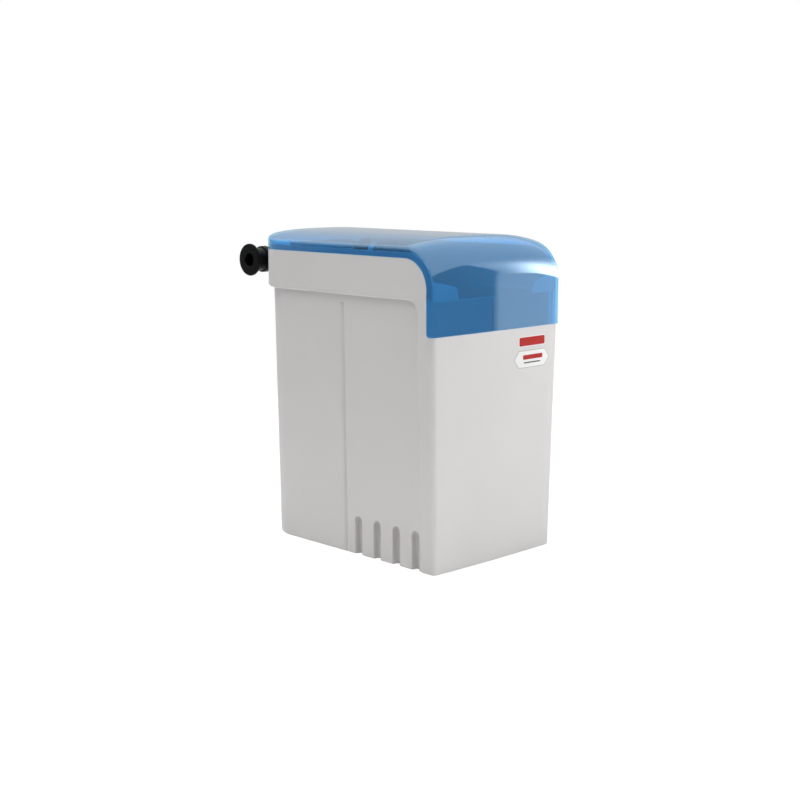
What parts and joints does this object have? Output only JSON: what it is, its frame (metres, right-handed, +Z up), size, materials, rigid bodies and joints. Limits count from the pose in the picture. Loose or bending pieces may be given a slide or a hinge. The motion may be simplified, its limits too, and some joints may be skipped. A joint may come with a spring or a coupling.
{
  "type": "water softener",
  "caption": "Free-standing cabinet water softener with a hinged translucent lid, a salt compartment, resin cylinders and a water-powered metering valve with elbowed pipe ports at the rear.",
  "frame": {"origin": "centre of the flat base, on the surface that the cabinet stands on", "axes": "+Z up, -Y to the front of the cabinet, +X to the right seen from the front"},
  "size_m": [0.285, 0.4599, 0.5],
  "materials": {
    "casing_grey": "satin",
    "lid_blue": "polished",
    "hinge_white": "satin",
    "arm_blue": "polished",
    "steel": "brushed",
    "inner_white": "satin",
    "fitting_grey": "satin",
    "float_orange": "satin",
    "seal_black": "matt",
    "vessel_blue": "satin",
    "resin_amber": "granular",
    "gear_ivory": "satin",
    "disc_blue": "satin",
    "cover_clear": "clear",
    "port_black": "satin"
  },
  "bodies": {
    "cabinet": {"cabinet": "casing_grey", "hinge_bracket_left": "hinge_white", "hinge_bracket_right": "hinge_white", "hinge_pin_left": "steel", "hinge_pin_right": "steel", "hinge_screws": "steel", "cover_screws": "steel", "idler_pin": "steel", "inlet_clip": "steel", "outlet_clip": "steel", "partition": "inner_white", "salt_platform": "inner_white", "brine_well": "inner_white", "brine_well_cap": "inner_white", "riser_tube_left": "inner_white", "riser_tube_right": "inner_white", "bottom_strainer_left": "inner_white", "bottom_strainer_right": "inner_white", "bearing_plate": "inner_white", "brine_tube": "inner_white", "brine_valve": "fitting_grey", "float_stop": "fitting_grey", "overflow_spigot": "fitting_grey", "overflow_nut": "fitting_grey", "drain_spigot": "fitting_grey", "valve_manifold": "fitting_grey", "piston_cap_left": "fitting_grey", "piston_cap_right": "fitting_grey", "overflow_gasket": "seal_black", "neck_seal_left": "seal_black", "neck_seal_right": "seal_black", "port_seals": "seal_black", "resin_cylinder_left": "vessel_blue", "resin_cylinder_right": "vessel_blue", "resin_bed_left": "resin_amber", "resin_bed_right": "resin_amber", "meter_cover": "cover_clear", "inlet_port": "port_black", "outlet_port": "port_black"},
    "lid": {"lid": "lid_blue", "hinge_arm_left": "arm_blue", "hinge_arm_right": "arm_blue"},
    "float": {"float": "float_orange"},
    "turbine": {"turbine": "inner_white", "drive_pinion": "gear_ivory"},
    "idler": {"idler_gear": "gear_ivory"},
    "meter_disc": {"meter_disc": "disc_blue"},
    "piston": {"changeover_piston": "inner_white", "piston_seals": "seal_black"}
  },
  "joints": [
    {"name": "lid_hinge", "type": "hinge", "parent": "cabinet", "child": "lid", "pos_m": [0, 0.21, 0.474], "axis": [-1, 0, 0], "range_deg": [0, 95]},
    {"name": "float_slide", "type": "slide", "parent": "cabinet", "child": "float", "axis": [0, 0, 1], "range_m": [0, 0.1]},
    {"name": "disc_spin", "type": "hinge", "parent": "cabinet", "child": "meter_disc", "pos_m": [0.0202, 0.0425, 0.445], "axis": [0, 0, 1], "continuous": true},
    {"name": "idler_spin", "type": "hinge", "parent": "cabinet", "child": "idler", "pos_m": [-0.0188, 0.0425, 0.445], "axis": [0, 0, 1], "continuous": true},
    {"name": "turbine_spin", "type": "hinge", "parent": "cabinet", "child": "turbine", "pos_m": [-0.0458, 0.0425, 0.44], "axis": [0, 0, 1], "continuous": true},
    {"name": "piston_shift", "type": "slide", "parent": "cabinet", "child": "piston", "axis": [1, 0, 0], "range_m": [-0.008, 0.008]}
  ],
  "couplings": [
    {"joint": "idler_spin", "follows": "turbine_spin", "ratio": -0.5},
    {"joint": "disc_spin", "follows": "turbine_spin", "ratio": 0.15}
  ]
}
